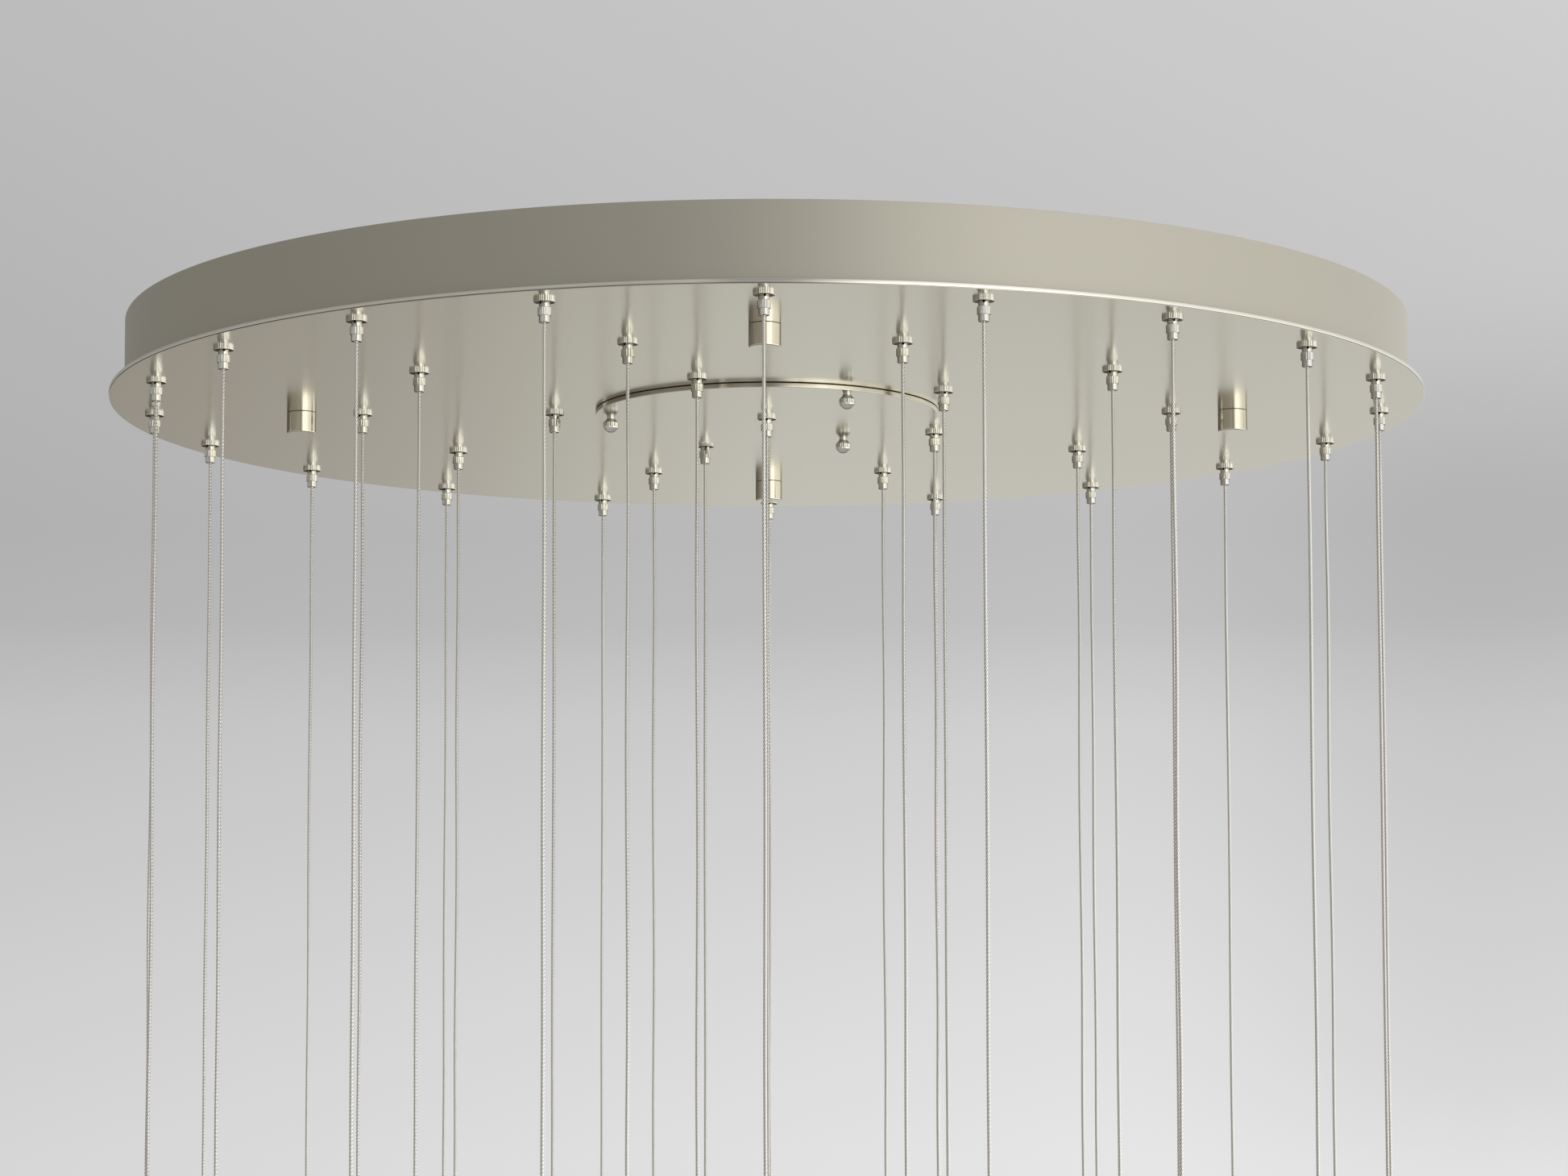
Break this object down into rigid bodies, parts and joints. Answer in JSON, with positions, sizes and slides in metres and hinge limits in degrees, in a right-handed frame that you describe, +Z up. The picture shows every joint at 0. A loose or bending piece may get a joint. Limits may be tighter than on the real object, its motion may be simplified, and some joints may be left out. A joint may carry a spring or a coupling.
{
  "type": "chandelier canopy with cables",
  "caption": "Large round flush ceiling canopy in satin champagne nickel with circles of cable grips, taut steel suspension cables with threaded ends, and a round access cover.",
  "frame": {"origin": "on the ceiling, at the canopy's axis, which is the middle of the ceiling cross's upper face", "axes": "+Z points up out of the upper face into the ceiling, -Y points at the viewer, +X points to the viewer's right"},
  "size_m": [1.2, 1.2, 0.826],
  "materials": {
    "satin_sheet": "satin champagne nickel on fine brushed sheet",
    "turned_nickel": "turned and knurled, satin nickel plated",
    "turned_cap": "turned brass, satin champagne plating",
    "wire_rope": "twisted bright steel wire",
    "zinc_steel": "zinc plated steel",
    "driver_case": "matte anodised case",
    "terminal_plastic": "moulded, matte"
  },
  "bodies": {
    "canopy": {"cover_plate": "satin_sheet", "drum_wall": "satin_sheet", "outer_backing_ring": "turned_nickel", "middle_backing_ring": "turned_nickel", "inner_backing_ring": "turned_nickel", "ceiling_cross": "zinc_steel", "hanger_rod_right": "zinc_steel", "hanger_rod_near": "zinc_steel", "hanger_rod_left": "zinc_steel", "hanger_rod_far": "zinc_steel", "driver_far": "driver_case", "driver_near": "driver_case", "terminal_block": "terminal_plastic"},
    "access_cover": {"access_cover": "satin_sheet", "centre_grip_body": "turned_nickel", "centre_grip_nut": "turned_nickel"},
    "centre_grip_sleeve": {"centre_grip_sleeve": "turned_nickel"},
    "thumb_screw_left": {"thumb_screw_left": "turned_nickel"},
    "thumb_screw_far": {"thumb_screw_far": "turned_nickel"},
    "thumb_screw_near": {"thumb_screw_near": "turned_nickel"},
    "cap_nut_right": {"cap_nut_right": "turned_cap"},
    "cap_nut_near": {"cap_nut_near": "turned_cap"},
    "cap_nut_left": {"cap_nut_left": "turned_cap"},
    "cap_nut_far": {"cap_nut_far": "turned_cap"},
    "cable_01": {"cable_01": "wire_rope"},
    "cable_02": {"cable_02": "wire_rope"},
    "cable_03": {"cable_03": "wire_rope"},
    "cable_04": {"cable_04": "wire_rope"},
    "cable_05": {"cable_05": "wire_rope"},
    "cable_06": {"cable_06": "wire_rope"},
    "cable_07": {"cable_07": "wire_rope"},
    "cable_08": {"cable_08": "wire_rope"},
    "cable_09": {"cable_09": "wire_rope"},
    "cable_10": {"cable_10": "wire_rope"},
    "cable_11": {"cable_11": "wire_rope"},
    "cable_12": {"cable_12": "wire_rope"},
    "cable_13": {"cable_13": "wire_rope"},
    "cable_14": {"cable_14": "wire_rope"},
    "cable_15": {"cable_15": "wire_rope"},
    "cable_16": {"cable_16": "wire_rope"},
    "cable_17": {"cable_17": "wire_rope"},
    "cable_18": {"cable_18": "wire_rope"},
    "cable_19": {"cable_19": "wire_rope"},
    "cable_20": {"cable_20": "wire_rope"},
    "cable_21": {"cable_21": "wire_rope"},
    "cable_22": {"cable_22": "wire_rope"},
    "cable_23": {"cable_23": "wire_rope"},
    "cable_24": {"cable_24": "wire_rope"},
    "cable_25": {"cable_25": "wire_rope"},
    "cable_26": {"cable_26": "wire_rope"},
    "cable_27": {"cable_27": "wire_rope"},
    "cable_28": {"cable_28": "wire_rope"},
    "cable_29": {"cable_29": "wire_rope"},
    "cable_30": {"cable_30": "wire_rope"},
    "cable_31": {"cable_31": "wire_rope"},
    "cable_32": {"cable_32": "wire_rope"},
    "cable_33": {"cable_33": "wire_rope"},
    "cable_34": {"cable_34": "wire_rope"},
    "cable_35": {"cable_35": "wire_rope"},
    "cable_36": {"cable_36": "wire_rope"}
  },
  "joints": [
    {"name": "access_cover_drop", "type": "slide", "parent": "canopy", "child": "access_cover", "axis": [0, 0, -1], "range_m": [0, 0.05]},
    {"name": "centre_grip_release", "type": "slide", "parent": "access_cover", "child": "centre_grip_sleeve", "axis": [0, 0, 1], "range_m": [0, 0.0024], "stiffness_N_per_m": 400, "springref_m": -0.003},
    {"name": "thumb_screw_left_turn", "type": "hinge", "parent": "access_cover", "child": "thumb_screw_left", "pos_m": [-0.144, 0, -0.08], "axis": [0, 0, 1], "continuous": true},
    {"name": "thumb_screw_far_turn", "type": "hinge", "parent": "access_cover", "child": "thumb_screw_far", "pos_m": [0.072, 0.12471, -0.08], "axis": [0, 0, 1], "continuous": true},
    {"name": "thumb_screw_near_turn", "type": "hinge", "parent": "access_cover", "child": "thumb_screw_near", "pos_m": [0.072, -0.12471, -0.08], "axis": [0, 0, 1], "continuous": true},
    {"name": "cap_nut_right_turn", "type": "hinge", "parent": "canopy", "child": "cap_nut_right", "pos_m": [0.4294, 0, -0.08], "axis": [0, 0, 1], "continuous": true},
    {"name": "cap_nut_near_turn", "type": "hinge", "parent": "canopy", "child": "cap_nut_near", "pos_m": [0, -0.4294, -0.08], "axis": [0, 0, 1], "continuous": true},
    {"name": "cap_nut_left_turn", "type": "hinge", "parent": "canopy", "child": "cap_nut_left", "pos_m": [-0.4294, 0, -0.08], "axis": [0, 0, 1], "continuous": true},
    {"name": "cap_nut_far_turn", "type": "hinge", "parent": "canopy", "child": "cap_nut_far", "pos_m": [0, 0.4294, -0.08], "axis": [0, 0, 1], "continuous": true},
    {"name": "cable_01_slide", "type": "slide", "parent": "canopy", "child": "cable_01", "axis": [0, 0, 1], "range_m": [0, 0.03]},
    {"name": "cable_02_slide", "type": "slide", "parent": "canopy", "child": "cable_02", "axis": [0, 0, 1], "range_m": [0, 0.03]},
    {"name": "cable_03_slide", "type": "slide", "parent": "canopy", "child": "cable_03", "axis": [0, 0, 1], "range_m": [0, 0.03]},
    {"name": "cable_04_slide", "type": "slide", "parent": "canopy", "child": "cable_04", "axis": [0, 0, 1], "range_m": [0, 0.03]},
    {"name": "cable_05_slide", "type": "slide", "parent": "canopy", "child": "cable_05", "axis": [0, 0, 1], "range_m": [0, 0.03]},
    {"name": "cable_06_slide", "type": "slide", "parent": "canopy", "child": "cable_06", "axis": [0, 0, 1], "range_m": [0, 0.03]},
    {"name": "cable_07_slide", "type": "slide", "parent": "canopy", "child": "cable_07", "axis": [0, 0, 1], "range_m": [0, 0.03]},
    {"name": "cable_08_slide", "type": "slide", "parent": "canopy", "child": "cable_08", "axis": [0, 0, 1], "range_m": [0, 0.03]},
    {"name": "cable_09_slide", "type": "slide", "parent": "canopy", "child": "cable_09", "axis": [0, 0, 1], "range_m": [0, 0.03]},
    {"name": "cable_10_slide", "type": "slide", "parent": "canopy", "child": "cable_10", "axis": [0, 0, 1], "range_m": [0, 0.03]},
    {"name": "cable_11_slide", "type": "slide", "parent": "canopy", "child": "cable_11", "axis": [0, 0, 1], "range_m": [0, 0.03]},
    {"name": "cable_12_slide", "type": "slide", "parent": "canopy", "child": "cable_12", "axis": [0, 0, 1], "range_m": [0, 0.03]},
    {"name": "cable_13_slide", "type": "slide", "parent": "canopy", "child": "cable_13", "axis": [0, 0, 1], "range_m": [0, 0.03]},
    {"name": "cable_14_slide", "type": "slide", "parent": "canopy", "child": "cable_14", "axis": [0, 0, 1], "range_m": [0, 0.03]},
    {"name": "cable_15_slide", "type": "slide", "parent": "canopy", "child": "cable_15", "axis": [0, 0, 1], "range_m": [0, 0.03]},
    {"name": "cable_16_slide", "type": "slide", "parent": "canopy", "child": "cable_16", "axis": [0, 0, 1], "range_m": [0, 0.03]},
    {"name": "cable_17_slide", "type": "slide", "parent": "canopy", "child": "cable_17", "axis": [0, 0, 1], "range_m": [0, 0.03]},
    {"name": "cable_18_slide", "type": "slide", "parent": "canopy", "child": "cable_18", "axis": [0, 0, 1], "range_m": [0, 0.03]},
    {"name": "cable_19_slide", "type": "slide", "parent": "canopy", "child": "cable_19", "axis": [0, 0, 1], "range_m": [0, 0.03]},
    {"name": "cable_20_slide", "type": "slide", "parent": "canopy", "child": "cable_20", "axis": [0, 0, 1], "range_m": [0, 0.03]},
    {"name": "cable_21_slide", "type": "slide", "parent": "canopy", "child": "cable_21", "axis": [0, 0, 1], "range_m": [0, 0.03]},
    {"name": "cable_22_slide", "type": "slide", "parent": "canopy", "child": "cable_22", "axis": [0, 0, 1], "range_m": [0, 0.03]},
    {"name": "cable_23_slide", "type": "slide", "parent": "canopy", "child": "cable_23", "axis": [0, 0, 1], "range_m": [0, 0.03]},
    {"name": "cable_24_slide", "type": "slide", "parent": "canopy", "child": "cable_24", "axis": [0, 0, 1], "range_m": [0, 0.03]},
    {"name": "cable_25_slide", "type": "slide", "parent": "canopy", "child": "cable_25", "axis": [0, 0, 1], "range_m": [0, 0.03]},
    {"name": "cable_26_slide", "type": "slide", "parent": "canopy", "child": "cable_26", "axis": [0, 0, 1], "range_m": [0, 0.03]},
    {"name": "cable_27_slide", "type": "slide", "parent": "canopy", "child": "cable_27", "axis": [0, 0, 1], "range_m": [0, 0.03]},
    {"name": "cable_28_slide", "type": "slide", "parent": "canopy", "child": "cable_28", "axis": [0, 0, 1], "range_m": [0, 0.03]},
    {"name": "cable_29_slide", "type": "slide", "parent": "canopy", "child": "cable_29", "axis": [0, 0, 1], "range_m": [0, 0.03]},
    {"name": "cable_30_slide", "type": "slide", "parent": "canopy", "child": "cable_30", "axis": [0, 0, 1], "range_m": [0, 0.03]},
    {"name": "cable_31_slide", "type": "slide", "parent": "canopy", "child": "cable_31", "axis": [0, 0, 1], "range_m": [0, 0.03]},
    {"name": "cable_32_slide", "type": "slide", "parent": "canopy", "child": "cable_32", "axis": [0, 0, 1], "range_m": [0, 0.03]},
    {"name": "cable_33_slide", "type": "slide", "parent": "canopy", "child": "cable_33", "axis": [0, 0, 1], "range_m": [0, 0.03]},
    {"name": "cable_34_slide", "type": "slide", "parent": "canopy", "child": "cable_34", "axis": [0, 0, 1], "range_m": [0, 0.03]},
    {"name": "cable_35_slide", "type": "slide", "parent": "canopy", "child": "cable_35", "axis": [0, 0, 1], "range_m": [0, 0.03]},
    {"name": "cable_36_slide", "type": "slide", "parent": "access_cover", "child": "cable_36", "axis": [0, 0, 1], "range_m": [0, 0.03]}
  ]
}
